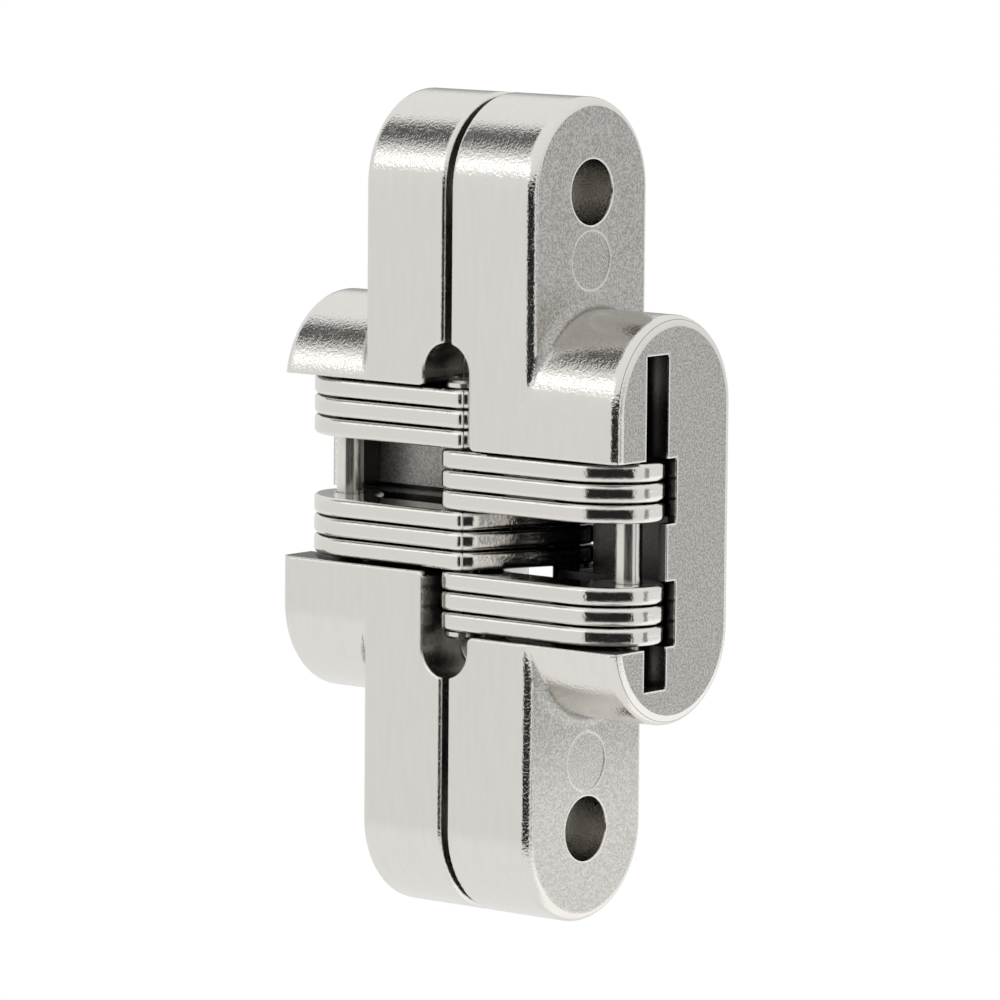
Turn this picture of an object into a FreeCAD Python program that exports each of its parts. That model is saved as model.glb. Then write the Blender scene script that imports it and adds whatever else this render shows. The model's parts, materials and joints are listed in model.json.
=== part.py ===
import FreeCAD, Part
import math
import os

import Sketcher

# Concealed door hinge, closed, lengths in millimetres.
# X runs across the seam: the jamb leaf is at -X and the door leaf at +X.
# Y runs through the leaf's width: the link mouths open at -Y and the door swings towards +Y.
# Z runs along the hinge and its pins, and the origin is the middle of the closed hinge.
# Depths are measured from a leaf's face, and insets from its mouth side.

SIZES = {
    # leaf castings
    "leaf_length": 60.0,
    "leaf_width": 13.5,
    "flange_depth": 7.6,
    "cup_length": 29.6,
    "cup_depth": 15.4,
    "face_gap": 0.6,
    "back_round": 0.8,
    "root_round": 0.9,
    "face_round": 0.3,
    # screw holes and the marks that the ejector pins leave
    "hole_end_distance": 6.85,
    "screw_hole_radius": 2.4,
    "countersink_radius": 4.3,
    "mark_gap": 0.35,
    "mark_depth": 0.08,
    # pins
    "pin_radius": 1.0,
    "pin_clearance": 0.05,
    "pin_chamfer": 0.2,
    "seat_clearance": 0.02,
    "rivet_radius": 1.5,
    "rivet_height": 0.5,
    # link plates
    "plate_thickness": 1.355,
    "plate_gap": 0.12,
    "plate_round": 0.3,
    "elbow_inset": 2.4,
    "pivot_depth": 2.8,
    "pivot_far_inset": 3.3,
    "slide_eye_setback": 0.05,
    "slide_inset": 4.8,
    "elbow_radius": 1.8,
    "pivot_eye_radius": 2.05,
    "slide_eye_radius": 2.55,
    "shoulder_radius": 5.5,
    "arm_width": 3.3,
    "neck_radius": 2.0,
    "crook_radius": 3.0,
    # room for the moving links
    "link_clearance": 0.3,
    "stack_clearance": 0.15,
    "mouth_depth": 5.95,
    "mouth_corner_radius": 0.5,
    "room_back_wall": 0.8,
    "bay_depth": 10.35,
    "notch_reach": 2.2,
    "lip_thickness": 0.4,
    "lip_height": 1.2,
    "relief_end_wall": 2.6,
    "groove_end_wall": 2.75,
    "groove_clearance": 0.3,
    "slot_near_inset": 3.4,
    "window_depth": 2.8,
    "end_play": 0.15,
}

# How far a link turns about its fixed pivot, and how far the two link sets turn back about the elbow.
PIVOT_TURN = 112.5
CROSS_RATIO = -0.4

PLATES_PER_STACK = 3
STACKS = 4

# Expressions that several sketches share.
HALF_GAP = "sizes.face_gap / 2"
HALF_WIDTH = "sizes.leaf_width / 2"
PLATE_PITCH = "(sizes.plate_thickness + sizes.plate_gap)"
STACK_HEIGHT = f"({PLATES_PER_STACK} * {PLATE_PITCH})"
STACK_HALF = f"({STACKS} / 2 * {STACK_HEIGHT} - sizes.plate_gap / 2)"
ELBOW_Y = f"(sizes.elbow_inset - {HALF_WIDTH})"
PIVOT_X = f"({HALF_GAP} + sizes.pivot_depth)"
PIVOT_Y = f"({HALF_WIDTH} - sizes.pivot_far_inset)"
SLIDE_X = f"({HALF_GAP} + sizes.cup_depth - sizes.slide_eye_setback - sizes.slide_eye_radius)"
SLIDE_Y = f"(sizes.slide_inset - {HALF_WIDTH})"
FACE_X = f"-({HALF_GAP})"
FLANGE_BACK_X = f"-({HALF_GAP} + sizes.flange_depth)"
CUP_BACK_X = f"-({HALF_GAP} + sizes.cup_depth)"
HOLE_Z = "(sizes.leaf_length / 2 - sizes.hole_end_distance)"
MARK_TOP = f"({HOLE_Z} - sizes.screw_hole_radius - sizes.mark_gap)"
MARK_FOOT = "(sizes.cup_length / 2 + sizes.root_round + sizes.mark_gap)"
MARK_RADIUS = f"(({MARK_TOP} - {MARK_FOOT}) / 2)"
FRONT_Y = f"-({HALF_WIDTH})"
GROOVE_HALF = "(sizes.cup_length / 2 - sizes.groove_end_wall)"
PIN_HALF = f"({GROOVE_HALF} - sizes.end_play)"

doc = FreeCAD.newDocument("concealed_hinge")


def make_sheet():
    """Keep the driving sizes in one spreadsheet."""
    sheet = doc.addObject("Spreadsheet::Sheet", "sizes")
    for row, (name, size) in enumerate(SIZES.items(), start=1):
        sheet.set(f"A{row}", name)
        sheet.set(f"B{row}", str(size))
        sheet.setAlias(f"B{row}", name)
    doc.recompute()
    return sheet


sheet = make_sheet()


def value(expression):
    """Work out one expression of the sheet's sizes."""
    return float(sheet.evalExpression(expression))


def new_sketch(body, name, role, height="0"):
    """Attach a sketch to one of the body's own origin planes, height along the plane's normal."""
    plane = next(feature for feature in body.Origin.OriginFeatures if feature.Role == role)
    sketch = body.newObject("Sketcher::SketchObject", name)
    sketch.AttachmentSupport = (plane, "")
    sketch.MapMode = "FlatFace"
    sketch.setExpression("AttachmentOffset.Base.z", f"({height}) * 1 mm")
    return sketch


def bind_point(sketch, geometry, position, x, y):
    """Tie one point of a sketch to two expressions, both measured from the sketch's origin."""
    for kind, expression in (("DistanceX", x), ("DistanceY", y)):
        constraint = Sketcher.Constraint(kind, -1, 1, geometry, position, value(expression))
        index = sketch.addConstraint(constraint)
        sketch.setExpression(f"Constraints[{index}]", f"({expression}) * 1 mm")


def bind_radius(sketch, geometry, expression):
    """Tie the radius of an arc or circle to an expression."""
    index = sketch.addConstraint(Sketcher.Constraint("Radius", geometry, value(expression)))
    sketch.setExpression(f"Constraints[{index}]", f"({expression}) * 1 mm")


def add_polygon(sketch, corners):
    """Draw a closed outline of straight lines, each corner bound to its two expressions."""
    points = [FreeCAD.Vector(value(x), value(y), 0) for x, y in corners]
    first = sketch.GeometryCount
    count = len(points)
    for index in range(count):
        sketch.addGeometry(Part.LineSegment(points[index], points[(index + 1) % count]), False)
    for index, (x, y) in enumerate(corners):
        following = first + (index + 1) % count
        sketch.addConstraint(Sketcher.Constraint("Coincident", first + index, 2, following, 1))
        bind_point(sketch, first + index, 1, x, y)


def add_rectangle(sketch, low_x, high_x, low_y, high_y):
    """Draw a rectangle between bound corners."""
    add_polygon(sketch, [(low_x, low_y), (high_x, low_y), (high_x, high_y), (low_x, high_y)])


def add_circle(sketch, x, y, radius):
    """Draw a circle with bound centre and radius."""
    centre = FreeCAD.Vector(value(x), value(y), 0)
    circle = Part.Circle(centre, FreeCAD.Vector(0, 0, 1), value(radius))
    geometry = sketch.addGeometry(circle, False)
    bind_point(sketch, geometry, 3, x, y)
    bind_radius(sketch, geometry, radius)


def add_arc(sketch, centre, radius, start_angle, end_angle):
    """Draw an anticlockwise arc, angles in radians, still free to move."""
    circle = Part.Circle(FreeCAD.Vector(centre[0], centre[1], 0), FreeCAD.Vector(0, 0, 1), radius)
    while end_angle < start_angle:
        end_angle += 2 * math.pi
    return sketch.addGeometry(Part.ArcOfCircle(circle, start_angle, end_angle), False)


def add_line(sketch, start, end):
    """Draw a line, still free to move."""
    line = Part.LineSegment(FreeCAD.Vector(start[0], start[1], 0), FreeCAD.Vector(end[0], end[1], 0))
    return sketch.addGeometry(line, False)


def add_stadium(sketch, half_length, radius, along_x=False):
    """Draw a slot shape about the sketch's origin: two half circles joined by straight sides."""
    reach = f"({half_length} - {radius})"
    far, round_radius = value(reach), value(radius)
    ends = [(0.0, far), (0.0, -far)]
    turns = [(0.0, math.pi), (math.pi, 2 * math.pi)]
    names = [("0", reach), ("0", f"-{reach}")]
    if along_x:
        ends = [(far, 0.0), (-far, 0.0)]
        turns = [(-math.pi / 2, math.pi / 2), (math.pi / 2, 3 * math.pi / 2)]
        names = [(reach, "0"), (f"-{reach}", "0")]
    arcs = [add_arc(sketch, end, round_radius, *turn) for end, turn in zip(ends, turns)]
    for index, arc in enumerate(arcs):
        other = arcs[1 - index]
        start = sketch.getPoint(arc, 2)
        finish = sketch.getPoint(other, 1)
        side = add_line(sketch, (start.x, start.y), (finish.x, finish.y))
        sketch.addConstraint(Sketcher.Constraint("Tangent", arc, 2, side, 1))
        sketch.addConstraint(Sketcher.Constraint("Tangent", side, 2, other, 1))
    for arc, (x, y) in zip(arcs, names):
        bind_point(sketch, arc, 3, x, y)
    bind_radius(sketch, arcs[0], radius)


def pad(body, sketch, name, length, reversed_way=False, midplane=False):
    """Pad a sketch by a bound length."""
    feature = body.newObject("PartDesign::Pad", name)
    feature.Profile = sketch
    feature.Reversed = reversed_way
    feature.Midplane = midplane
    feature.setExpression("Length", f"({length}) * 1 mm")
    doc.recompute()
    return feature


def pocket(body, sketch, name, length, reversed_way=False, midplane=False):
    """Pocket a sketch by a bound length, and make sure that it cut something."""
    before = body.Shape.Volume
    feature = body.newObject("PartDesign::Pocket", name)
    feature.Profile = sketch
    feature.Reversed = reversed_way
    feature.Midplane = midplane
    feature.setExpression("Length", f"({length}) * 1 mm")
    doc.recompute()
    if not body.Shape.Volume < before:
        raise RuntimeError(f"{name} cut nothing")
    return feature


def dress(body, kind, name, size, chosen):
    """Fillet or chamfer the edges of the body's tip that a test picks."""
    base = body.Tip
    edges = [f"Edge{index}" for index, edge in enumerate(base.Shape.Edges, start=1) if chosen(edge)]
    if not edges:
        raise RuntimeError(f"{name} found no edge")
    feature = body.newObject(f"PartDesign::{kind}", name)
    feature.Base = (base, edges)
    feature.setExpression("Radius" if kind == "Fillet" else "Size", f"({size}) * 1 mm")
    doc.recompute()
    return feature


def lies_at_x(edge, x):
    """Tell whether an edge lies in the plane at x."""
    box = edge.BoundBox
    return abs(box.XMin - x) < 1e-4 and abs(box.XMax - x) < 1e-4


def has_radius(edge, radius):
    """Tell whether an edge in a plane is part of a circle of that radius."""
    return isinstance(edge.Curve, Part.Circle) and abs(edge.Curve.Radius - radius) < 1e-4


def turned(x, y, centre, angle):
    """Turn a point about a centre, anticlockwise, in degrees."""
    turn = math.radians(angle)
    from_x, from_y = x - centre[0], y - centre[1]
    return (
        centre[0] + from_x * math.cos(turn) - from_y * math.sin(turn),
        centre[1] + from_x * math.sin(turn) + from_y * math.cos(turn),
    )


def slide_point(turn):
    """Place of the jamb's slide pin once the jamb links have turned about their fixed pivot."""
    pivot = (-value(PIVOT_X), value(PIVOT_Y))
    elbow = turned(0.0, value(ELBOW_Y), pivot, turn)
    swung = turned(-value(SLIDE_X), value(SLIDE_Y), pivot, turn)
    return turned(swung[0], swung[1], elbow, CROSS_RATIO * turn)


def slide_arc():
    """Centre and radius of the arc through three places of the slide pin, and those places."""
    points = [FreeCAD.Vector(*slide_point(PIVOT_TURN * share), 0) for share in (0.0, 0.45, 1.0)]
    circle = Part.Arc(*points).toShape().Curve
    return circle.Center, circle.Radius, points


def level_span(first_stack, last_stack, clearance):
    """Height expressions of a run of stacks, counted up from the lowest one."""
    low = f"({first_stack - STACKS / 2} * {STACK_HEIGHT} - {clearance})"
    high = f"({last_stack + 1 - STACKS / 2} * {STACK_HEIGHT} + {clearance})"
    return low, high


def add_slide_groove(body):
    """Cut the curved groove that the slide pin runs in, and its straight slot out of the back."""
    centre, radius, points = slide_arc()
    half = value("sizes.pin_radius + sizes.groove_clearance")
    start, finish = points[0], points[2]
    angles = [math.atan2(point.y - centre.y, point.x - centre.x) for point in (start, finish)]

    sketch = new_sketch(body, "groove_outline", "XY_Plane")
    outer = add_arc(sketch, (centre.x, centre.y), radius + half, angles[0], angles[1])
    inner = add_arc(sketch, (centre.x, centre.y), radius - half, angles[0], angles[1])
    near_cap = add_arc(sketch, (finish.x, finish.y), half, angles[1], angles[1] + math.pi)
    far_cap = add_arc(sketch, (start.x, start.y), half, angles[0] + math.pi, angles[0] + 2 * math.pi)
    sketch.addConstraint(Sketcher.Constraint("Tangent", outer, 2, near_cap, 1))
    sketch.addConstraint(Sketcher.Constraint("Tangent", near_cap, 2, inner, 2))
    sketch.addConstraint(Sketcher.Constraint("Tangent", inner, 1, far_cap, 1))
    sketch.addConstraint(Sketcher.Constraint("Tangent", far_cap, 2, outer, 1))
    sketch.addConstraint(Sketcher.Constraint("Coincident", outer, 3, inner, 3))
    bind_radius(sketch, near_cap, "sizes.pin_radius + sizes.groove_clearance")
    for cap, point in ((near_cap, finish), (far_cap, start)):
        sketch.addConstraint(Sketcher.Constraint("DistanceX", -1, 1, cap, 3, point.x))
        sketch.addConstraint(Sketcher.Constraint("DistanceY", -1, 1, cap, 3, point.y))
    sketch.addConstraint(Sketcher.Constraint("Radius", outer, radius + half))
    pocket(body, sketch, "slide_groove", f"2 * {GROOVE_HALF}", midplane=True)

    sketch = new_sketch(body, "slot_outline", "XY_Plane")
    near_y = f"(sizes.slot_near_inset - {HALF_WIDTH})"
    far_y = f"(sizes.mouth_depth - {HALF_WIDTH})"
    add_rectangle(sketch, f"({CUP_BACK_X} - 1)", f"-{SLIDE_X}", near_y, far_y)
    pocket(body, sketch, "back_slot", f"2 * {GROOVE_HALF}", midplane=True)


def add_link_room(body):
    """Cut the pockets that the link plates lie and swing in."""
    # The mouth in the flank, from the face out through the back.
    sketch = new_sketch(body, "mouth_outline", "XZ_Plane", HALF_WIDTH)
    low, high = level_span(1, 3, "sizes.stack_clearance")
    add_rectangle(sketch, f"({CUP_BACK_X} - 1)", f"({FACE_X} + 1)", low, high)
    pocket(body, sketch, "mouth", "sizes.mouth_depth")

    # Deeper room at the two levels where the slide eyes travel, up to a thin wall at the back.
    room_back = f"({CUP_BACK_X} + sizes.room_back_wall)"
    sketch = new_sketch(body, "eye_room_outline", "XZ_Plane", HALF_WIDTH)
    for stack in (1, 3):
        low, high = level_span(stack, stack, "sizes.stack_clearance")
        add_rectangle(sketch, room_back, f"({FACE_X} + 1)", low, high)
    pocket(body, sketch, "eye_room", "sizes.slide_inset + sizes.slide_eye_radius + sizes.link_clearance / 2")

    # The bay between those levels goes deeper still.
    sketch = new_sketch(body, "bay_outline", "XZ_Plane", HALF_WIDTH)
    low, high = level_span(2, 2, "sizes.stack_clearance")
    add_rectangle(sketch, room_back, f"({FACE_X} + 1)", low, high)
    pocket(body, sketch, "deep_bay", "sizes.bay_depth")

    # The thin wall is notched where the slide eyes lie.
    sketch = new_sketch(body, "notch_outline", "XZ_Plane", HALF_WIDTH)
    for stack in (1, 3):
        low, high = level_span(stack, stack, "sizes.stack_clearance")
        add_rectangle(sketch, f"({CUP_BACK_X} - 1)", f"-{SLIDE_X}", low, high)
    pocket(body, sketch, "eye_notches", "sizes.slide_inset + sizes.notch_reach")

    # Room near the face for the arms on the fixed pivot, at all levels, with a thin lip at the far flank.
    elbow_wall = f"-(sizes.elbow_radius + sizes.link_clearance + 0.05)"
    pivot_wall = f"-({PIVOT_X} + sizes.pivot_eye_radius + sizes.link_clearance)"
    far_y = f"({PIVOT_Y} + sizes.pivot_eye_radius + sizes.link_clearance * 2 / 3)"
    sketch = new_sketch(body, "arm_room_outline", "XY_Plane")
    add_polygon(sketch, [
        (f"({FACE_X} + 1)", f"({FRONT_Y} - 1)"),
        (elbow_wall, f"({FRONT_Y} - 1)"),
        (elbow_wall, f"({ELBOW_Y} + sizes.link_clearance)"),
        (pivot_wall, f"({PIVOT_Y} - sizes.pivot_eye_radius * 2 / 3)"),
        (pivot_wall, f"({PIVOT_Y} + sizes.pivot_eye_radius / 2)"),
        (f"-({PIVOT_X} + sizes.link_clearance)", far_y),
        (f"({FACE_X} - sizes.lip_height)", far_y),
        (FACE_X, f"({HALF_WIDTH} - sizes.lip_thickness)"),
        (f"({FACE_X} + 1)", f"({HALF_WIDTH} - sizes.lip_thickness)"),
    ])
    pocket(body, sketch, "arm_room", f"2 * ({STACK_HALF} + sizes.stack_clearance)", midplane=True)

    # Windows in the far flank, where those arms fold back over its edge.
    for name, stack in (("lower_window", 0), ("upper_window", 2)):
        low, high = level_span(stack, stack, "sizes.stack_clearance")
        sketch = new_sketch(body, f"{name}_outline", "XY_Plane", high)
        add_polygon(sketch, [
            (f"({FACE_X} + 1)", PIVOT_Y),
            (pivot_wall, PIVOT_Y),
            (pivot_wall, f"({PIVOT_Y} + sizes.pivot_eye_radius / 2)"),
            (f"({FACE_X} - sizes.window_depth)", HALF_WIDTH),
            (f"({FACE_X} - sizes.window_depth)", f"({HALF_WIDTH} + 1)"),
            (f"({FACE_X} + 1)", f"({HALF_WIDTH} + 1)"),
        ])
        pocket(body, sketch, name, f"{high} - {low}")

    # Round-ended relief at the seam for the elbows and the ends of the pin through them.
    relief_depth = "(sizes.elbow_inset + sizes.rivet_radius + sizes.link_clearance * 2)"
    sketch = new_sketch(body, "relief_outline", "XZ_Plane", HALF_WIDTH)
    add_stadium(sketch, "(sizes.cup_length / 2 - sizes.relief_end_wall)", f"(-{elbow_wall})")
    pocket(body, sketch, "elbow_relief", relief_depth)

    # The mouth's outer corners at that relief are rounded off.
    mouth_top = value(level_span(1, 3, "sizes.stack_clearance")[1])
    mouth_foot = value(level_span(1, 3, "sizes.stack_clearance")[0])
    wall_x = value(elbow_wall)

    def at_corner(edge):
        box = edge.BoundBox
        upright = box.XLength < 1e-4 and box.ZLength < 1e-4 and abs(box.XMin - wall_x) < 1e-4
        at_level = min(abs(box.ZMin - mouth_top), abs(box.ZMin - mouth_foot)) < 1e-4
        return upright and at_level

    dress(body, "Fillet", "mouth_corners", "sizes.mouth_corner_radius", at_corner)


def add_pivot_seat(body):
    """Cut the seat of the fixed pivot pin, open to the face so that the pin can be laid in."""
    seat = "(sizes.pin_radius + sizes.seat_clearance)"
    sketch = new_sketch(body, "seat_outline", "XY_Plane")
    pivot_x, pivot_y, radius = -value(PIVOT_X), value(PIVOT_Y), value(seat)
    mouth_x = value(FACE_X) + 1
    cap = add_arc(sketch, (pivot_x, pivot_y), radius, math.pi / 2, 3 * math.pi / 2)
    lower = add_line(sketch, (pivot_x, pivot_y - radius), (mouth_x, pivot_y - radius))
    side = add_line(sketch, (mouth_x, pivot_y - radius), (mouth_x, pivot_y + radius))
    upper = add_line(sketch, (mouth_x, pivot_y + radius), (pivot_x, pivot_y + radius))
    sketch.addConstraint(Sketcher.Constraint("Tangent", cap, 2, lower, 1))
    sketch.addConstraint(Sketcher.Constraint("Coincident", lower, 2, side, 1))
    sketch.addConstraint(Sketcher.Constraint("Coincident", side, 2, upper, 1))
    sketch.addConstraint(Sketcher.Constraint("Tangent", upper, 2, cap, 1))
    sketch.addConstraint(Sketcher.Constraint("Horizontal", lower))
    sketch.addConstraint(Sketcher.Constraint("Vertical", side))
    bind_point(sketch, cap, 3, f"-{PIVOT_X}", PIVOT_Y)
    bind_radius(sketch, cap, seat)
    index = sketch.addConstraint(Sketcher.Constraint("DistanceX", -1, 1, side, 1, mouth_x))
    sketch.setExpression(f"Constraints[{index}]", f"({FACE_X} + 1) * 1 mm")
    pocket(body, sketch, "pivot_seat", f"2 * {GROOVE_HALF}", midplane=True)


def add_ejector_marks(body):
    """Press in the shallow round marks of the ejector pins, between the screw holes and the cup."""
    sketch = new_sketch(body, "mark_circles", "YZ_Plane", FLANGE_BACK_X)
    for side in ("", "-"):
        add_circle(sketch, "0", f"{side}({MARK_TOP} + {MARK_FOOT}) / 2", MARK_RADIUS)
    pocket(body, sketch, "ejector_marks", "sizes.mark_depth", reversed_way=True)


def add_screw_holes(body):
    """Cut the two screw holes through the flange and countersink them at the face."""
    sketch = new_sketch(body, "hole_circles", "YZ_Plane", FLANGE_BACK_X + " - 1")
    for side in ("", "-"):
        add_circle(sketch, "0", f"{side}{HOLE_Z}", "sizes.screw_hole_radius")
    pocket(body, sketch, "screw_holes", "sizes.flange_depth + 2", reversed_way=True)
    face = value(FACE_X)
    hole_radius = value("sizes.screw_hole_radius")

    def at_face(edge):
        return lies_at_x(edge, face) and has_radius(edge, hole_radius)

    dress(body, "Chamfer", "countersinks", "sizes.countersink_radius - sizes.screw_hole_radius", at_face)


def make_casting(name):
    """Cast one leaf as the jamb's: a long flange at the face and a deep cup in its middle."""
    body = doc.addObject("PartDesign::Body", name)
    body.Label = name

    sketch = new_sketch(body, "flange_outline", "YZ_Plane", FACE_X)
    add_stadium(sketch, "sizes.leaf_length / 2", HALF_WIDTH)
    pad(body, sketch, "flange", "sizes.flange_depth", reversed_way=True)
    add_ejector_marks(body)
    flange_back = value(FLANGE_BACK_X)
    mark_radius = value(MARK_RADIUS)

    def on_back_edge(edge):
        return lies_at_x(edge, flange_back) and not has_radius(edge, mark_radius)

    dress(body, "Fillet", "flange_round", "sizes.back_round", on_back_edge)

    sketch = new_sketch(body, "cup_outline", "YZ_Plane", FACE_X)
    add_stadium(sketch, "sizes.cup_length / 2", HALF_WIDTH)
    pad(body, sketch, "cup", "sizes.cup_depth", reversed_way=True)
    cup_back = value(CUP_BACK_X)
    dress(body, "Fillet", "cup_round", "sizes.back_round", lambda edge: lies_at_x(edge, cup_back))

    def at_cup_root(edge):
        return lies_at_x(edge, flange_back) and has_radius(edge, value(HALF_WIDTH))

    dress(body, "Fillet", "cup_root", "sizes.root_round", at_cup_root)

    face = value(FACE_X)
    dress(body, "Fillet", "face_edge_round", "sizes.face_round", lambda edge: lies_at_x(edge, face))

    add_link_room(body)
    add_slide_groove(body)
    add_pivot_seat(body)
    add_screw_holes(body)
    return body


def plate_frame():
    """Places and directions that fix a link plate's outline, for the door's links."""
    elbow = (0.0, value(ELBOW_Y))
    pivot = (value(PIVOT_X), value(PIVOT_Y))
    slide = (-value(SLIDE_X), value(SLIDE_Y))
    return elbow, pivot, slide


def add_plate_outline(sketch):
    """Draw the bent link: slide eye, straight arm, elbow, short arm and pivot eye, all tangent."""
    elbow, pivot, slide = plate_frame()
    elbow_radius = value("sizes.elbow_radius")
    pivot_radius = value("sizes.pivot_eye_radius")
    slide_radius = value("sizes.slide_eye_radius")
    shoulder_radius = value("sizes.shoulder_radius")
    neck_radius = value("sizes.neck_radius")
    crook_radius = value("sizes.crook_radius")
    front = elbow[1] - elbow_radius
    back = front + value("sizes.arm_width")

    # The shoulder rolls the straight front edge into the slide eye.
    shoulder_y = front + shoulder_radius
    run = math.sqrt((shoulder_radius - slide_radius) ** 2 - (shoulder_y - slide[1]) ** 2)
    shoulder = (slide[0] + run, shoulder_y)
    shoulder_end = math.atan2(slide[1] - shoulder[1], slide[0] - shoulder[0])

    # The neck hollows the back edge behind the slide eye, to pass the other leaf's pivot pin.
    neck_y = back + neck_radius
    run = math.sqrt((slide_radius + neck_radius) ** 2 - (neck_y - slide[1]) ** 2)
    neck = (slide[0] + run, neck_y)
    neck_start = math.atan2(neck[1] - slide[1], neck[0] - slide[0])

    # The short arm's outer side touches the elbow and the pivot eye.
    length = math.dist(elbow, pivot)
    along = ((pivot[0] - elbow[0]) / length, (pivot[1] - elbow[1]) / length)
    lean = (elbow_radius - pivot_radius) / length
    square = math.sqrt(1 - lean ** 2)
    normal = (along[1] * square + along[0] * lean, -along[0] * square + along[1] * lean)
    normal_angle = math.atan2(normal[1], normal[0])

    # The crook is the inner corner between the two arms.
    crook_y = back + crook_radius
    reach = pivot_radius + crook_radius
    crook_x = pivot[0] - (reach + normal[1] * (crook_y - pivot[1])) / normal[0]
    crook = (crook_x, crook_y)

    def offset(point, radius):
        return (point[0] + normal[0] * radius, point[1] + normal[1] * radius)

    down = -math.pi / 2
    front_edge = add_line(sketch, (shoulder[0], front), (elbow[0], front))
    elbow_arc = add_arc(sketch, elbow, elbow_radius, down, normal_angle)
    outer_edge = add_line(sketch, offset(elbow, elbow_radius), offset(pivot, pivot_radius))
    pivot_arc = add_arc(sketch, pivot, pivot_radius, normal_angle, normal_angle + math.pi)
    inner_edge = add_line(sketch, offset(pivot, -pivot_radius), offset(crook, crook_radius))
    crook_arc = add_arc(sketch, crook, crook_radius, down, normal_angle)
    back_edge = add_line(sketch, (crook[0], back), (neck[0], back))
    neck_arc = add_arc(sketch, neck, neck_radius, neck_start - math.pi, down)
    slide_arc_edge = add_arc(sketch, slide, slide_radius, neck_start, shoulder_end)
    shoulder_arc = add_arc(sketch, shoulder, shoulder_radius, shoulder_end, down)

    joins = [
        (front_edge, 2, elbow_arc, 1),
        (elbow_arc, 2, outer_edge, 1),
        (outer_edge, 2, pivot_arc, 1),
        (pivot_arc, 2, inner_edge, 1),
        (inner_edge, 2, crook_arc, 2),
        (crook_arc, 1, back_edge, 1),
        (back_edge, 2, neck_arc, 2),
        (neck_arc, 1, slide_arc_edge, 1),
        (slide_arc_edge, 2, shoulder_arc, 1),
        (shoulder_arc, 2, front_edge, 1),
    ]
    for join in joins:
        sketch.addConstraint(Sketcher.Constraint("Tangent", *join))
    sketch.addConstraint(Sketcher.Constraint("Horizontal", front_edge))
    sketch.addConstraint(Sketcher.Constraint("Horizontal", back_edge))
    sketch.addConstraint(Sketcher.Constraint("Parallel", inner_edge, outer_edge))
    index = sketch.addConstraint(Sketcher.Constraint("DistanceY", front_edge, 2, back_edge, 1, back - front))
    sketch.setExpression(f"Constraints[{index}]", "sizes.arm_width * 1 mm")
    bind_point(sketch, elbow_arc, 3, "0", ELBOW_Y)
    bind_point(sketch, pivot_arc, 3, PIVOT_X, PIVOT_Y)
    bind_point(sketch, slide_arc_edge, 3, f"-{SLIDE_X}", SLIDE_Y)
    bind_radius(sketch, elbow_arc, "sizes.elbow_radius")
    bind_radius(sketch, pivot_arc, "sizes.pivot_eye_radius")
    bind_radius(sketch, slide_arc_edge, "sizes.slide_eye_radius")
    bind_radius(sketch, shoulder_arc, "sizes.shoulder_radius")
    bind_radius(sketch, neck_arc, "sizes.neck_radius")
    bind_radius(sketch, crook_arc, "sizes.crook_radius")


def make_plate(name, height, to_door):
    """Stamp one link plate, with an eye at its elbow and at each end, rounded at its edges."""
    body = doc.addObject("PartDesign::Body", name)
    body.Label = name
    sketch = new_sketch(body, "plate_outline", "XY_Plane")
    add_plate_outline(sketch)
    hole = "(sizes.pin_radius + sizes.pin_clearance)"
    add_circle(sketch, "0", ELBOW_Y, hole)
    add_circle(sketch, PIVOT_X, PIVOT_Y, hole)
    add_circle(sketch, f"-{SLIDE_X}", SLIDE_Y, hole)
    pad(body, sketch, "plate", "sizes.plate_thickness", midplane=True)

    hole_radius = value(hole)

    def on_rim(edge):
        return edge.BoundBox.ZLength < 1e-4 and not has_radius(edge, hole_radius)

    dress(body, "Fillet", "stamped_edge", "sizes.plate_round", on_rim)
    turn = 0 if to_door else 180
    body.Placement = FreeCAD.Placement(FreeCAD.Vector(), FreeCAD.Rotation(FreeCAD.Vector(0, 1, 0), turn))
    body.setExpression("Placement.Base.z", f"({height}) * 1 mm")
    return body


def make_pin(name, x, y, half_length):
    """Cut a plain pin with broken ends, upright at x and y."""
    body = doc.addObject("PartDesign::Body", name)
    body.Label = name
    sketch = new_sketch(body, "pin_circle", "XY_Plane")
    add_circle(sketch, "0", "0", "sizes.pin_radius")
    pad(body, sketch, "shank", f"2 * {half_length}", midplane=True)
    dress(body, "Chamfer", "pin_ends", "sizes.pin_chamfer", lambda edge: edge.BoundBox.ZLength < 1e-4)
    body.setExpression("Placement.Base.x", f"({x}) * 1 mm")
    body.setExpression("Placement.Base.y", f"({y}) * 1 mm")
    return body


def make_centre_pin(name):
    """Turn the rivet that holds all the links together at their elbows."""
    body = doc.addObject("PartDesign::Body", name)
    body.Label = name
    sketch = new_sketch(body, "rivet_profile", "XZ_Plane")
    head_base = f"({STACK_HALF} + sizes.plate_gap)"
    head_top = f"({head_base} + sizes.rivet_height)"
    crown = "(sizes.rivet_radius - sizes.pin_chamfer)"
    shoulder = f"({head_top} - sizes.pin_chamfer)"
    add_polygon(sketch, [
        ("0", f"-{head_top}"),
        (crown, f"-{head_top}"),
        ("sizes.rivet_radius", f"-{shoulder}"),
        ("sizes.rivet_radius", f"-{head_base}"),
        ("sizes.pin_radius", f"-{head_base}"),
        ("sizes.pin_radius", head_base),
        ("sizes.rivet_radius", head_base),
        ("sizes.rivet_radius", shoulder),
        (crown, head_top),
        ("0", head_top),
    ])
    turned_rivet = body.newObject("PartDesign::Revolution", "rivet")
    turned_rivet.Profile = sketch
    turned_rivet.ReferenceAxis = (sketch, ["V_Axis"])
    turned_rivet.Angle = 360
    body.setExpression("Placement.Base.y", f"({ELBOW_Y}) * 1 mm")
    doc.recompute()
    return body


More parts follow.
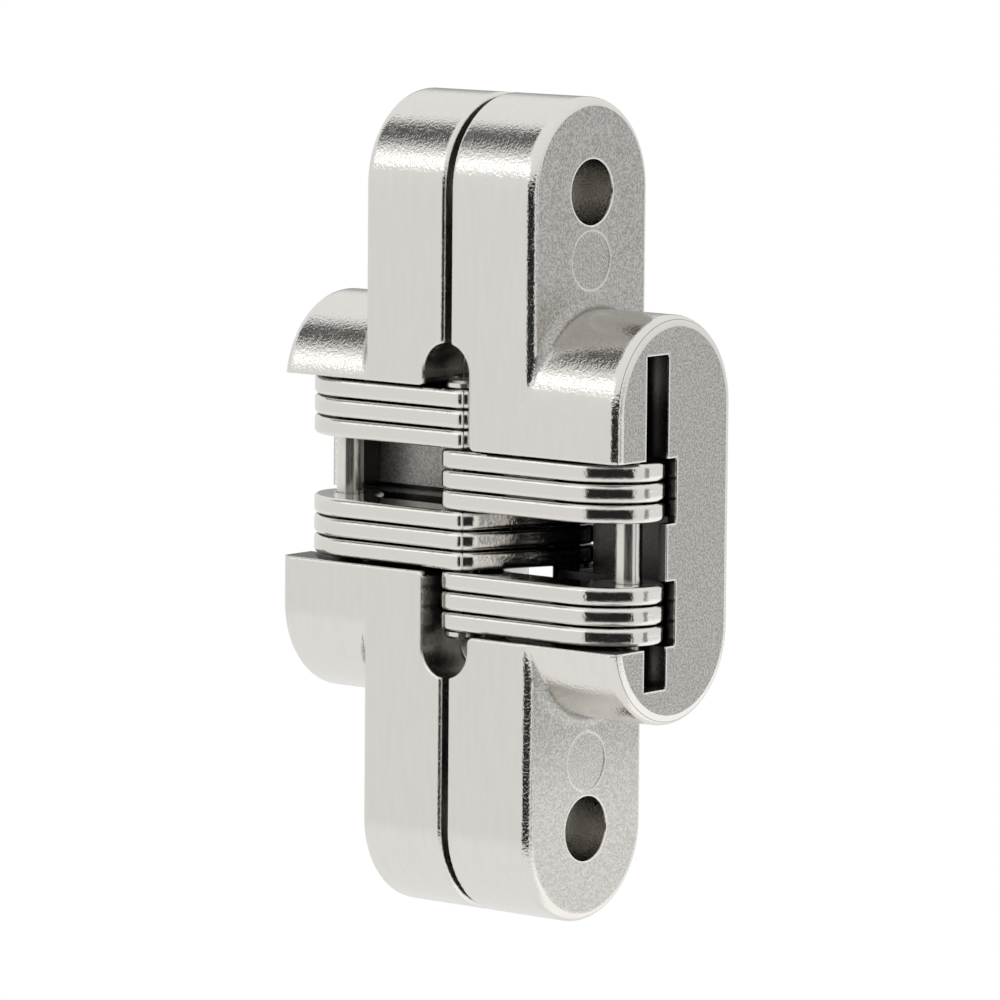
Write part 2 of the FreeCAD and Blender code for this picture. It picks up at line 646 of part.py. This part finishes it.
def make_hinge():
    """Make every piece in its place in the closed hinge."""
    pieces = [make_casting("jamb_body"), make_casting("door_body")]
    half_turn = FreeCAD.Rotation(FreeCAD.Vector(0, 1, 0), 180)
    pieces[1].Placement = FreeCAD.Placement(FreeCAD.Vector(), half_turn)

    pieces.append(make_pin("jamb_pivot_pin", f"-{PIVOT_X}", PIVOT_Y, PIN_HALF))
    pieces.append(make_pin("door_pivot_pin", PIVOT_X, PIVOT_Y, PIN_HALF))
    pieces.append(make_pin("jamb_slide_pin", f"-{SLIDE_X}", SLIDE_Y, PIN_HALF))
    pieces.append(make_pin("door_slide_pin", SLIDE_X, SLIDE_Y, PIN_HALF))
    pieces.append(make_centre_pin("centre_pin"))

    # Stacks alternate from the bottom: jamb links, door links, jamb links, door links.
    counts = {"jamb_link": 0, "door_link": 0}
    for level in range(STACKS * PLATES_PER_STACK):
        kind = ("jamb_link", "door_link")[level // PLATES_PER_STACK % 2]
        counts[kind] += 1
        middle = level + 0.5 - STACKS * PLATES_PER_STACK / 2
        height = f"{middle} * {PLATE_PITCH}"
        pieces.append(make_plate(f"{kind}_{counts[kind]}", height, kind == "door_link"))
    doc.recompute()
    return pieces


def check_and_export(pieces):
    """Stop on any failed object or bad shape, then write one STEP file for each piece."""
    for item in doc.Objects:
        if "Invalid" in item.State or "Error" in item.State:
            raise RuntimeError(f"{item.Label} failed: {item.State}")
    for piece in pieces:
        shape = piece.Shape
        if shape.isNull() or not shape.isValid() or len(shape.Solids) != 1:
            raise RuntimeError(f"{piece.Label} has a bad shape")
    os.makedirs("parts", exist_ok=True)
    for piece in pieces:
        piece.Shape.exportStep(f"parts/{piece.Label}.step")


check_and_export(make_hinge())
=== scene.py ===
"""Looks of the concealed hinge in a white tent: nickel castings, bright stamped links and steel pins."""
import json
import math

import bpy
from mathutils import Matrix, Vector

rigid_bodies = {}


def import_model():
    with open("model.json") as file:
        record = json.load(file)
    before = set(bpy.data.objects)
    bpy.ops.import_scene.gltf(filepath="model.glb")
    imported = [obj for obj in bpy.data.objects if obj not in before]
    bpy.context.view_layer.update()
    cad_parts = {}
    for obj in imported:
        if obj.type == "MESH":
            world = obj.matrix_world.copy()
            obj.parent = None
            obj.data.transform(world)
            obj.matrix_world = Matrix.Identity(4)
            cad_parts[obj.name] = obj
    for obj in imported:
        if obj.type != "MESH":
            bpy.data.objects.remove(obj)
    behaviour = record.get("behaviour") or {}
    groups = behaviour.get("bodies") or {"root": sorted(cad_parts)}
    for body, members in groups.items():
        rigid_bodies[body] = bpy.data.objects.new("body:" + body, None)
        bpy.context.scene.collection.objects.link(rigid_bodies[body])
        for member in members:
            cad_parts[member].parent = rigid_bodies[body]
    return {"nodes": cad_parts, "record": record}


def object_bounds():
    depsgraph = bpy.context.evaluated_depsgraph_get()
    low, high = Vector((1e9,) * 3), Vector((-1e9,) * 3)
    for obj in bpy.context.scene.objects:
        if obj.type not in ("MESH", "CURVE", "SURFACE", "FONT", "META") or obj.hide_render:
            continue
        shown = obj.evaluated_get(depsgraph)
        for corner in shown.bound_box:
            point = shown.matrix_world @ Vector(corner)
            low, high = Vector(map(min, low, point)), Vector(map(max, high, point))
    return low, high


MM = 0.001
WHITE = (1.0, 1.0, 1.0, 1.0)

# Camera, solved from the photograph: angles in degrees, distance in metres, shifts as shares of the image.
CAMERA_AZIMUTH = 39.158
CAMERA_ELEVATION = 6.908
CAMERA_ROLL = 0.502
CAMERA_DISTANCE = 0.4921
CAMERA_FOCAL_PIXELS = 6746.9
CAMERA_NEAREST = 0.01
IMAGE_PIXELS = 1000
SENSOR_WIDTH = 36.0
CAMERA_SHIFT = (-0.0042, 0.0032)

# Brightness that the tent's foot and top send out, and the elevations between which it changes.
TENT_FOOT = 0.776
TENT_TOP = 0.924
TENT_FOOT_ELEVATION = -60.0
TENT_TOP_ELEVATION = 70.0
FLOOR_GAP = 4 * MM
FLOOR_SIZE = 2.0

# Dark and bright cards round the hinge, by azimuth, elevation, half width, half height and soft edge in
# degrees, and brightness. Azimuth 0 faces the link mouths and 90 faces the back of the door leaf. A later
# card covers an earlier one.
CARDS = {
    "table": (0.0, -55.0, 181.0, 40.0, 10.0, 0.90),
    "table_behind": (142.0, -50.0, 50.0, 40.0, 8.0, 1.15),
    "dark_front": (36.0, -4.0, 36.5, 13.0, 3.0, 0.02),
    "dark_overhead": (-64.0, 44.0, 14.0, 12.0, 4.0, 0.10),
    "key_light": (-22.0, 21.5, 24.5, 4.2, 5.0, 2.10),
    "side_pole": (99.0, -6.0, 7.0, 10.0, 4.0, 0.30),
    "far_screen": (-141.0, 6.0, 9.0, 12.0, 8.0, 0.40),
}

# Tint that all the plating shares, as shares of red, green and blue.
NICKEL_TINT = (1.030, 1.0, 0.946)

# How far a surface looks round for its neighbours' shade, and how finely that and the soft edges are
# sampled.
SHADE_REACH = 6 * MM
SURFACE_SAMPLES = 8

# Share of open sky between which each surface goes from its shade to its full tone.
CASTING_SKY = (0.20, 0.60)
LINK_EDGE_SKY = (0.02, 0.32)
LINK_LEVEL_SKY = (0.25, 0.60)
PIN_SKY = (0.26, 0.54)

# Distances from the seam between which the cup's root lies, and the cup's outline within its back round.
ROOT_START = 7.88 * MM
ROOT_END = 8.95 * MM
CUP_ROUND_CENTRE = 8.05 * MM
CUP_INSIDE_RADIUS = 6.45 * MM
CUP_INSIDE_START = 3.0 * MM
CUP_INSIDE_REACH = 15.55 * MM

# Middle and half height of the jamb leaf's bay, and the heights between which the links' rooms
# give way to the bare slot.
BAY_MIDDLE = 2.25 * MM
BAY_HALF_HEIGHT = 2.15 * MM
ROOMS_END = 7.6 * MM
SLOT_START = 10.6 * MM

# Heights between which the backs go from their usual cast grey to the paler grey of the leaves' foot.
PALE_START = -12 * MM
PALE_END = -23 * MM

# How squarely a face has to look along an axis, from the start to the end of each blend.
BACK_FACING = (0.998, 0.9995)
ROOT_FACING = (0.02, 0.25)
FLANK_FACING = (0.97, 0.995)
FAR_WALL_FACING = -0.9
LEVEL_FACING = 0.95

# Sizes and depths of the castings' patterns, the grain's share on the flat flanks, and the swirls' lean.
GRAIN_SIZE = 0.21 * MM
GRAIN_DEPTH = 0.027 * MM
GRAIN_ROUGHNESS = 0.55
FLANK_GRAIN = 0.35
FINE_GRAIN_SIZE = 0.16 * MM
FINE_GRAIN_ROUGHNESS = 0.6
WEAR_SIZE = 1.6 * MM
SWIRL_SIZE = 0.5 * MM
SWIRL_DEPTH = 0.004 * MM
SWIRL_DETAIL = 3.0
SWIRL_STRETCH = (1.0, 1.0, 0.22)
SWIRL_LEAN = (0.0, 25.0, 0.0)

# Spans of a noise that make a gentle pattern and a speckled one.
GENTLE = (0.3, 0.7)
SPECKLES = (0.35, 0.65)

# Soft edges of the castings, and how far the light turns there between an edge with painted highlight and
# a plain face.
EDGE_RADIUS = 0.34 * MM
EDGE_TURN = (0.92, 0.985)

# Nickel tones of the castings, in pairs where a pattern goes from one to the other.
LINED_TONES = (0.752, 0.770)
SPECKLED_TONES = (0.31, 0.53)
PALE_TONES = (0.52, 0.70)
# Painted light on the jamb bay's far wall.
BAY_WALL_LIGHT_TONES = (0.66, 1.0)
# Painted highlight on the sharp edges of the backs.
HIGHLIGHT_TONE = 0.86
# Painted shade in the holes, the links' rooms and the slot, and how much of the outside tone the pockets
# lose to it.
HOLE_SHADE = 0.54
ROOM_SHADE = 0.05
SLOT_SHADE = 0.26
INSIDE_DARKNESS = 0.9

# Roughness of the castings' finishes.
SHADED_ROUGHNESS = 0.24
OPEN_ROUGHNESS = 0.12
CAST_ROUGHNESS = 0.28
BAY_WALL_ROUGHNESS = 0.40
HIGHLIGHT_ROUGHNESS = 0.20
WEAR = 0.02

# Middle of the elbows, their radius, and the crease that the stamping leaves there.
ELBOW_Y = -4.35 * MM
ELBOW_RADIUS = 1.8 * MM
CREASE_ANGLE = 30.0
CREASE_HALF_WIDTH = 0.10 * MM
CREASE_HEIGHT = 0.05 * MM
CREASE_REACH = (0.10 * MM, 0.16 * MM)

# Patterns, soft edge, roughness and tones of the link plates, whose tones run from painted shade to full
# tone.
LINK_GRAIN_SIZE = 0.26 * MM
LINK_GRAIN_DEPTH = 0.012 * MM
LINK_STREAK_SIZE = 0.9 * MM
LINK_STREAK_DEPTH = 0.006 * MM
LINK_STREAK_STRETCH = (1.0, 1.0, 6.0)
LINK_EDGE_RADIUS = 0.38 * MM
LINK_ROUGHNESS = (0.08, 0.13)
LINK_SHADE_TONES = (0.12, 0.77)

# Drawing lines, roughness and tones of the pins, whose tones run from painted shade to full tone.
PIN_LINE_SIZE = 0.12 * MM
PIN_LINE_DEPTH = 0.002 * MM
PIN_LINE_STRETCH = (1.0, 1.0, 0.04)
PIN_ROUGHNESS = (0.17, 0.25)
PIN_SHADE_TONES = (0.12, 0.78)


class Graph:
    """A node tree that is written as a formula: each call adds one node and returns its output."""

    def __init__(self, tree):
        self.tree = tree
        tree.nodes.clear()

    def node(self, kind, inputs=None, **settings):
        """Add one node, set its properties, and fill or link its inputs."""
        node = self.tree.nodes.new(kind)
        for name, setting in settings.items():
            setattr(node, name, setting)
        for name, source in (inputs or {}).items():
            self.fill(node.inputs[name], source)
        return node

    def fill(self, socket, source):
        """Link a socket or set its value."""
        if isinstance(source, bpy.types.NodeSocket):
            self.tree.links.new(source, socket)
        else:
            socket.default_value = source

    def math(self, operation, *values):
        """Combine one to three numbers."""
        return self.node("ShaderNodeMath", dict(enumerate(values)), operation=operation).outputs[0]

    def product(self, first, *others):
        """Several numbers multiplied together."""
        for other in others:
            first = self.math("MULTIPLY", first, other)
        return first

    def root_of_squares(self, first, second):
        """Distance from zero of a point with these two coordinates."""
        squares = self.math("ADD", self.product(first, first), self.product(second, second))
        return self.math("SQRT", squares)

    def ramp(self, value, low, high, first=0.0, last=1.0):
        """Map a value smoothly from the span low to high onto first to last."""
        inputs = {"Value": value, "From Min": low, "From Max": high, "To Min": first, "To Max": last}
        return self.node("ShaderNodeMapRange", inputs, interpolation_type="SMOOTHSTEP").outputs[0]

    def blend(self, factor, first, second):
        """Mix two numbers by a factor."""
        inputs = {0: factor, 2: first, 3: second}
        return self.node("ShaderNodeMix", data_type="FLOAT", inputs=inputs).outputs[0]

    def direction(self, factor, first, second):
        """Mix two directions by a factor."""
        inputs = {0: factor, 4: first, 5: second}
        return self.node("ShaderNodeMix", data_type="VECTOR", inputs=inputs).outputs[1]

    def tint(self, factor, first, second):
        """Mix two colours by a factor."""
        inputs = {0: factor, 6: first, 7: second}
        return self.node("ShaderNodeMix", data_type="RGBA", inputs=inputs).outputs[2]

    def noise(self, vector, size, detail=2.0, roughness=0.5):
        """Noise whose features are about that size, in metres."""
        inputs = {"Vector": vector, "Scale": 1 / size, "Detail": detail, "Roughness": roughness}
        return self.node("ShaderNodeTexNoise", inputs).outputs["Fac"]

    def stretched(self, vector, scale, degrees=(0.0, 0.0, 0.0)):
        """Turn and scale a vector, to draw a pattern out along one way."""
        turn = tuple(math.radians(angle) for angle in degrees)
        inputs = {"Vector": vector, "Scale": scale, "Rotation": turn}
        return self.node("ShaderNodeMapping", inputs).outputs[0]

    def bump(self, height, depth, normal=None):
        """Bend the normal over a height field of that depth, in metres."""
        inputs = {"Height": height, "Distance": depth}
        if normal is not None:
            inputs["Normal"] = normal
        return self.node("ShaderNodeBump", inputs).outputs[0]


def nickel(level):
    """The plating's slightly warm grey."""
    return (*(level * share for share in NICKEL_TINT), 1.0)


def between(graph, factor, tones):
    """Nickel that goes from the first to the second of two tones."""
    return graph.tint(factor, nickel(tones[0]), nickel(tones[1]))


def axes_of(graph, vector):
    """The three parts of a vector."""
    return graph.node("ShaderNodeSeparateXYZ", {"Vector": vector}).outputs


def card_cover(graph, azimuth, elevation, card):
    """How much of a direction a card covers, from 0 to 1."""
    card_azimuth, card_elevation, half_width, half_height, soft = card
    aside = graph.math("ABSOLUTE", graph.math("SUBTRACT", azimuth, card_azimuth))
    above = graph.math("ABSOLUTE", graph.math("SUBTRACT", elevation, card_elevation))
    past_side = graph.math("SUBTRACT", aside, half_width)
    past_end = graph.math("SUBTRACT", above, half_height)
    return graph.ramp(graph.math("MAXIMUM", past_side, past_end), -soft / 2, soft / 2, 1.0, 0.0)


def make_world():
    """White tent with its dark and bright cards; the camera itself sees plain white behind the hinge."""
    world = bpy.data.worlds.new("tent")
    bpy.context.scene.world = world
    world.use_nodes = True
    graph = Graph(world.node_tree)
    axes = axes_of(graph, graph.node("ShaderNodeTexCoord").outputs["Generated"])
    front = graph.math("MULTIPLY", axes["Y"], -1.0)
    azimuth = graph.math("DEGREES", graph.math("ARCTAN2", axes["X"], front))
    elevation = graph.math("DEGREES", graph.math("ARCSINE", axes["Z"]))
    light = graph.ramp(elevation, TENT_FOOT_ELEVATION, TENT_TOP_ELEVATION, TENT_FOOT, TENT_TOP)
    for *card, brightness in CARDS.values():
        light = graph.blend(card_cover(graph, azimuth, elevation, card), light, brightness)
    tent = graph.node("ShaderNodeBackground", {"Color": WHITE, "Strength": light})
    plain = graph.node("ShaderNodeBackground", {"Color": WHITE, "Strength": 1.0})
    seen = graph.node("ShaderNodeLightPath").outputs["Is Camera Ray"]
    mixed = graph.node("ShaderNodeMixShader", {0: seen, 1: tent.outputs[0], 2: plain.outputs[0]})
    graph.node("ShaderNodeOutputWorld", {"Surface": mixed.outputs[0]})


def new_material(name):
    """An empty node material and its graph."""
    material = bpy.data.materials.new(name)
    material.use_nodes = True
    return material, Graph(material.node_tree)


def make_floor(lowest):
    """Floor a little below the hinge, which neither the camera nor reflections see: it only adds to the
    painted shade of the lowest edges.
    """
    bpy.ops.mesh.primitive_plane_add(size=FLOOR_SIZE, location=(0, 0, lowest - FLOOR_GAP))
    floor = bpy.context.object
    floor.name = "floor"
    material, graph = new_material("floor")
    lit = graph.node("ShaderNodeEmission", {"Color": WHITE, "Strength": TENT_FOOT})
    graph.node("ShaderNodeOutputMaterial", {"Surface": lit.outputs[0]})
    floor.data.materials.append(material)
    floor.visible_glossy = False
    floor.visible_camera = False


def finish_metal(graph, color, roughness, normal):
    """End a metal's graph in its shader."""
    shader = graph.node(
        "ShaderNodeBsdfPrincipled",
        {"Base Color": color, "Metallic": 1.0, "Roughness": roughness, "Normal": normal},
    )
    graph.node("ShaderNodeOutputMaterial", {"Surface": shader.outputs[0]})


def object_place(graph):
    """Place on a piece, in the shared frame's axes and in metres."""
    return graph.node("ShaderNodeTexCoord").outputs["Object"]


def flat_normal_of(graph):
    """The way a surface faces, before any pattern or soft edge bends it."""
    return graph.node("ShaderNodeNewGeometry").outputs["True Normal"]


def facing_of(graph, flat_normal):
    """The three parts of the way a surface faces, in its own piece's axes."""
    turned_back = graph.node(
        "ShaderNodeVectorTransform",
        {"Vector": flat_normal},
        vector_type="NORMAL",
        convert_from="WORLD",
        convert_to="OBJECT",
    )
    return axes_of(graph, turned_back.outputs[0])


def sky_seen(graph):
    """Share of its surroundings that a surface sees past its neighbours."""
    inputs = {"Distance": SHADE_REACH}
    return graph.node("ShaderNodeAmbientOcclusion", inputs, samples=SURFACE_SAMPLES).outputs["AO"]


def soft_edge(graph, radius):
    """Normal that turns the light at sharp edges like small rounds."""
    return graph.node("ShaderNodeBevel", {"Radius": radius}, samples=SURFACE_SAMPLES).outputs[0]


def inside_cup(graph, place):
    """1 on the walls of the pockets that are cut into the cups, 0 on a casting's outside."""
    height = graph.math("ABSOLUTE", place["Z"])
    past_round = graph.math("MAXIMUM", graph.math("SUBTRACT", height, CUP_ROUND_CENTRE), 0.0)
    from_middle = graph.root_of_squares(past_round, place["Y"])
    within_outline = graph.math("LESS_THAN", from_middle, CUP_INSIDE_RADIUS)
    from_seam = graph.math("ABSOLUTE", place["X"])
    past_relief = graph.math("GREATER_THAN", from_seam, CUP_INSIDE_START)
    before_back = graph.math("LESS_THAN", from_seam, CUP_INSIDE_REACH)
    return graph.product(within_outline, past_relief, before_back)


def cup_root(graph, place, facing_x):
    """1 on the root where a cup meets its flange."""
    from_seam = graph.math("ABSOLUTE", place["X"])
    past_flange = graph.math("GREATER_THAN", from_seam, ROOT_START)
    before_cup_round = graph.math("LESS_THAN", from_seam, ROOT_END)
    return graph.product(past_flange, before_cup_round, graph.ramp(facing_x, *ROOT_FACING))


def lit_bay_wall(graph, place, facing, inside):
    """1 on the wall opposite the jamb leaf's mouth, the one pocket wall that the light reaches, which gets
    painted light.
    """
    on_jamb = graph.math("LESS_THAN", place["X"], 0.0)
    far_wall = graph.math("LESS_THAN", facing["Y"], FAR_WALL_FACING)
    in_bay = graph.math("COMPARE", place["Z"], BAY_MIDDLE, BAY_HALF_HEIGHT)
    return graph.product(inside, far_wall, in_bay, on_jamb)


def casting_color(graph, place, in_open, swirl, fine_grain, masks):
    """Tones of a casting: lined outside, speckled where it is as cast, with painted shade in its holes and
    pockets, a painted highlight on the backs' edges and painted light on the jamb bay's far wall.
    """
    speckles = graph.ramp(fine_grain, *SPECKLES)
    near_foot = graph.ramp(place["Z"], PALE_START, PALE_END)
    usual = between(graph, speckles, SPECKLED_TONES)
    pale = between(graph, speckles, PALE_TONES)
    speckled = graph.tint(near_foot, usual, pale)
    lined = between(graph, graph.ramp(swirl, *GENTLE), LINED_TONES)
    outside = graph.tint(masks["as_cast"], lined, speckled)
    # Painted highlight on the sharp edges of the backs.
    outside = graph.tint(masks["painted_highlight"], outside, nickel(HIGHLIGHT_TONE))

    # Painted shade: the colour darkens where neighbours hide the sky, darker still in the pockets and
    # darkest in the links' rooms.
    in_slot = graph.ramp(graph.math("ABSOLUTE", place["Z"]), ROOMS_END, SLOT_START)
    deep = between(graph, in_slot, (ROOM_SHADE, SLOT_SHADE))
    shaded = graph.tint(masks["inside"], nickel(HOLE_SHADE), deep)
    kept_light = graph.math("SUBTRACT", 1.0, graph.product(masks["inside"], INSIDE_DARKNESS))
    color = graph.tint(graph.product(in_open, kept_light), shaded, outside)
    # Painted light on the jamb bay's far wall.
    return graph.tint(masks["lit_wall"], color, between(graph, speckles, BAY_WALL_LIGHT_TONES))


def casting_roughness(graph, vector, in_open, masks):
    """Roughness of a casting: smooth in the open, rougher in the shade and where it is as cast."""
    worn = graph.ramp(graph.noise(vector, WEAR_SIZE), *GENTLE, -WEAR, WEAR)
    side = graph.blend(in_open, SHADED_ROUGHNESS, OPEN_ROUGHNESS)
    roughness = graph.math("ADD", graph.blend(masks["as_cast"], side, CAST_ROUGHNESS), worn)
    roughness = graph.blend(masks["lit_wall"], roughness, BAY_WALL_ROUGHNESS)
    return graph.blend(masks["painted_highlight"], roughness, HIGHLIGHT_ROUGHNESS)


def casting_normal(graph, vector, facing, rounded, swirl):
    """Relief of a casting: pebbly grain that is fainter on the flat flanks, under faint swirls."""
    grain = graph.noise(vector, GRAIN_SIZE, roughness=GRAIN_ROUGHNESS)
    flat_flank = graph.ramp(graph.math("ABSOLUTE", facing["Y"]), *FLANK_FACING)
    pebbles = graph.product(grain, graph.blend(flat_flank, 1.0, FLANK_GRAIN))
    return graph.bump(swirl, SWIRL_DEPTH, graph.bump(pebbles, GRAIN_DEPTH, rounded))


def casting_material():
    """Nickel on cast zinc: linished sides with faint swirls, grainy backs, and dull pockets darkened by
    painted shade.
    """
    material, graph = new_material("nickel_casting")
    vector = object_place(graph)
    place = axes_of(graph, vector)
    flat_normal = flat_normal_of(graph)
    facing = facing_of(graph, flat_normal)
    facing_x = graph.math("ABSOLUTE", facing["X"])
    in_open = graph.ramp(sky_seen(graph), *CASTING_SKY)
    edge = soft_edge(graph, EDGE_RADIUS)
    edge_turn = graph.node("ShaderNodeVectorMath", {0: edge, 1: flat_normal}, operation="DOT_PRODUCT")
    near_edge = graph.ramp(edge_turn.outputs["Value"], *EDGE_TURN, 1.0, 0.0)

    # Backs, seam faces, roots and pockets are as cast, and the sharp edges of the backs get a painted
    # highlight.
    back = graph.ramp(facing_x, *BACK_FACING)
    inside = inside_cup(graph, place)
    outside_cast = graph.math("MAXIMUM", back, cup_root(graph, place, facing_x))
    masks = {
        "inside": inside,
        "as_cast": graph.math("MAXIMUM", outside_cast, inside),
        "painted_highlight": graph.product(back, near_edge),
        "lit_wall": lit_bay_wall(graph, place, facing, inside),
    }
    rounded = graph.direction(graph.math("MAXIMUM", back, inside), edge, flat_normal)

    leaning = graph.stretched(vector, SWIRL_STRETCH, SWIRL_LEAN)
    swirl = graph.noise(leaning, SWIRL_SIZE, detail=SWIRL_DETAIL)
    fine_grain = graph.noise(vector, FINE_GRAIN_SIZE, roughness=FINE_GRAIN_ROUGHNESS)
    color = casting_color(graph, place, in_open, swirl, fine_grain, masks)
    roughness = casting_roughness(graph, vector, in_open, masks)
    finish_metal(graph, color, roughness, casting_normal(graph, vector, facing, rounded, swirl))
    return material


def elbow_crease(graph, place):
    """Height of the upright crease on a plate's elbow, from 0 to 1."""
    from_elbow = graph.math("SUBTRACT", place["Y"], ELBOW_Y)
    aside = graph.math("ABSOLUTE", place["X"])
    turn = math.radians(CREASE_ANGLE)
    along = graph.math(
        "ADD",
        graph.product(aside, math.cos(turn)),
        graph.product(from_elbow, math.sin(turn)),
    )
    radius = graph.root_of_squares(aside, from_elbow)
    off_round = graph.math("ABSOLUTE", graph.math("SUBTRACT", radius, ELBOW_RADIUS))
    near_round = graph.ramp(off_round, *CREASE_REACH, 1.0, 0.0)
    ridge = graph.ramp(graph.math("ABSOLUTE", along), 0.0, CREASE_HALF_WIDTH, 1.0, 0.0)
    return graph.product(ridge, near_round)


def link_material():
    """Bright nickel on stamped steel, drawn along the plate's edge."""
    material, graph = new_material("nickel_link")
    vector = object_place(graph)
    grain = graph.noise(vector, LINK_GRAIN_SIZE)
    streak = graph.noise(graph.stretched(vector, LINK_STREAK_STRETCH), LINK_STREAK_SIZE)
    normal = graph.bump(grain, LINK_GRAIN_DEPTH, soft_edge(graph, LINK_EDGE_RADIUS))
    normal = graph.bump(streak, LINK_STREAK_DEPTH, normal)
    normal = graph.bump(elbow_crease(graph, axes_of(graph, vector)), CREASE_HEIGHT, normal)
    roughness = graph.ramp(grain, *GENTLE, *LINK_ROUGHNESS)

    # Painted shade: the plates' colour darkens where neighbours hide the sky, and the level faces between
    # the plates take it sooner than the plates' edges do.
    facing = facing_of(graph, flat_normal_of(graph))
    level_face = graph.math("GREATER_THAN", graph.math("ABSOLUTE", facing["Z"]), LEVEL_FACING)
    seen = sky_seen(graph)
    in_open = graph.blend(level_face, graph.ramp(seen, *LINK_EDGE_SKY), graph.ramp(seen, *LINK_LEVEL_SKY))
    finish_metal(graph, between(graph, in_open, LINK_SHADE_TONES), roughness, normal)
    return material


def pin_material():
    """Bright drawn steel, with fine lines along the pin."""
    material, graph = new_material("pin_steel")
    line = graph.noise(graph.stretched(object_place(graph), PIN_LINE_STRETCH), PIN_LINE_SIZE)
    roughness = graph.ramp(line, *GENTLE, *PIN_ROUGHNESS)
    # Painted shade: the pin's colour darkens where its neighbours hide the sky.
    in_open = graph.ramp(sky_seen(graph), *PIN_SKY)
    finish_metal(graph, between(graph, in_open, PIN_SHADE_TONES), roughness, graph.bump(line, PIN_LINE_DEPTH))
    return material


def dress_nodes(frame):
    """Give each piece the material of its record slot."""
    makers = {"casting": casting_material, "link_steel": link_material, "pin_steel": pin_material}
    materials = {slot: maker() for slot, maker in makers.items()}
    for part in frame["record"]["subparts"]:
        node = frame["nodes"][part["node"]]
        node.data.materials.clear()
        node.data.materials.append(materials[part["material_slot"]])


def make_camera():
    """Stand the camera where the photograph was taken from."""
    azimuth = math.radians(CAMERA_AZIMUTH)
    elevation = math.radians(CAMERA_ELEVATION)
    roll = math.radians(CAMERA_ROLL)
    back = Vector((
        math.sin(azimuth) * math.cos(elevation),
        -math.cos(azimuth) * math.cos(elevation),
        math.sin(elevation),
    ))
    level = Vector((math.cos(azimuth), math.sin(azimuth), 0))
    upright = back.cross(level)
    right = math.cos(roll) * level + math.sin(roll) * upright
    up = -math.sin(roll) * level + math.cos(roll) * upright

    data = bpy.data.cameras.new("camera")
    data.sensor_width = SENSOR_WIDTH
    data.lens = CAMERA_FOCAL_PIXELS / IMAGE_PIXELS * SENSOR_WIDTH
    data.shift_x, data.shift_y = CAMERA_SHIFT
    data.clip_start = CAMERA_NEAREST
    camera = bpy.data.objects.new("camera", data)
    stand = Matrix.Translation(back * CAMERA_DISTANCE)
    camera.matrix_world = stand @ Matrix((right, up, back)).transposed().to_4x4()
    bpy.context.scene.collection.objects.link(camera)
    bpy.context.scene.camera = camera


def plain_bounds():
    """The model's box as plain lists of numbers."""
    return [list(corner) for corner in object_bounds()]


def main():
    """Load the frame, measure its box, dress its pieces, and stand the tent, the floor and the camera
    round them.
    """
    for item in list(bpy.data.objects):
        bpy.data.objects.remove(item)
    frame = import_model()
    cad_box = plain_bounds()
    bpy.context.scene.view_settings.view_transform = "Standard"
    make_world()
    make_floor(cad_box[0][2])
    dress_nodes(frame)
    make_camera()


main()
